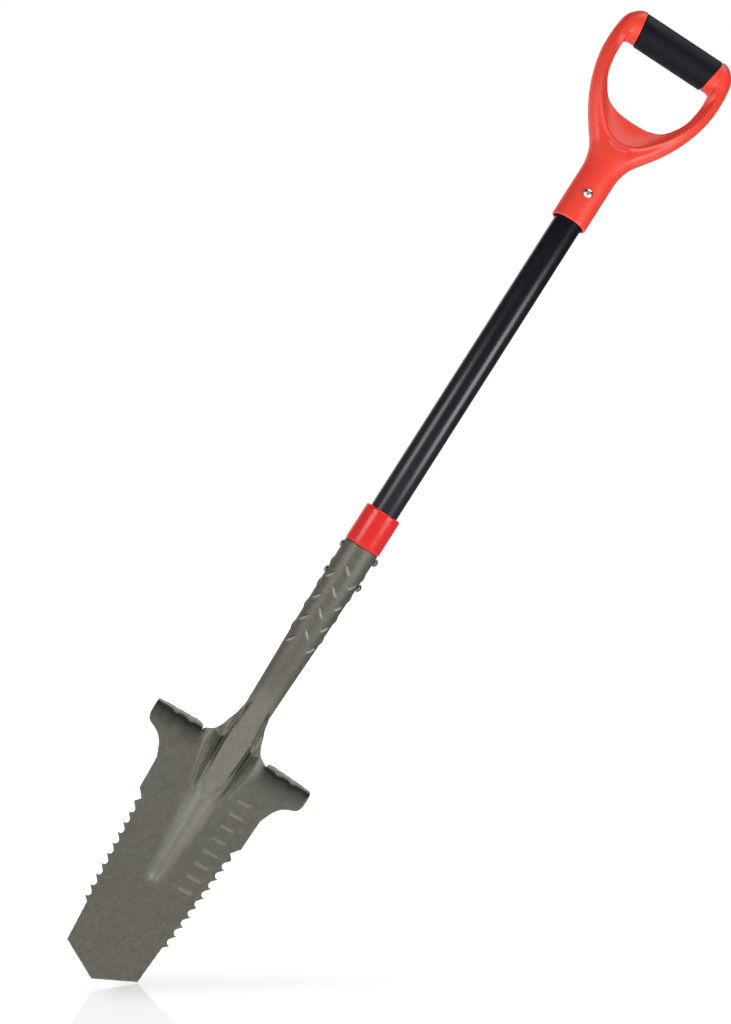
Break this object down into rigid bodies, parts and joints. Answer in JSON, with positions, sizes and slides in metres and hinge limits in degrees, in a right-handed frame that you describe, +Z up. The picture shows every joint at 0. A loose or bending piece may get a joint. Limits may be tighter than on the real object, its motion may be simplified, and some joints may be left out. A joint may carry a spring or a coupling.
{
  "type": "digging shovel",
  "caption": "Slim digging shovel with a saw-edged pointed steel blade, turned foot steps, a riveted tapered socket, a straight tubular shaft and a D handle with a rubber grip.",
  "frame": {"origin": "middle of the hand grip, on the grip's own axis", "axes": "+Z runs up the shaft from the blade to the hand grip, -Y is the front, the side that the blade tip leans to, and +X is to the shovel's right seen from the front, along the grip's axis"},
  "size_m": [0.1698, 0.074, 1.0273],
  "materials": {
    "blade_coat": "olive-grey metallic powder coat on pressed steel, finely speckled, semi-gloss",
    "shaft_coat": "smooth black coat on a steel tube, semi-gloss",
    "red_plastic": "coral-red moulded plastic, satin to semi-gloss",
    "grip_rubber": "black soft-touch rubber, fine matt texture",
    "bright_steel": "plated steel, bright",
    "plug_plastic": "grey moulded plastic, unseen inside the shaft"
  },
  "bodies": {
    "root": {"blade_and_socket": "blade_coat", "shaft_tube": "shaft_coat", "shaft_lower_plug": "plug_plastic", "shaft_upper_plug": "plug_plastic", "socket_collar": "red_plastic", "rivet_lower": "bright_steel", "rivet_upper": "bright_steel", "d_handle": "red_plastic", "grip_sleeve": "grip_rubber", "handle_screw": "bright_steel"}
  },
  "joints": []
}
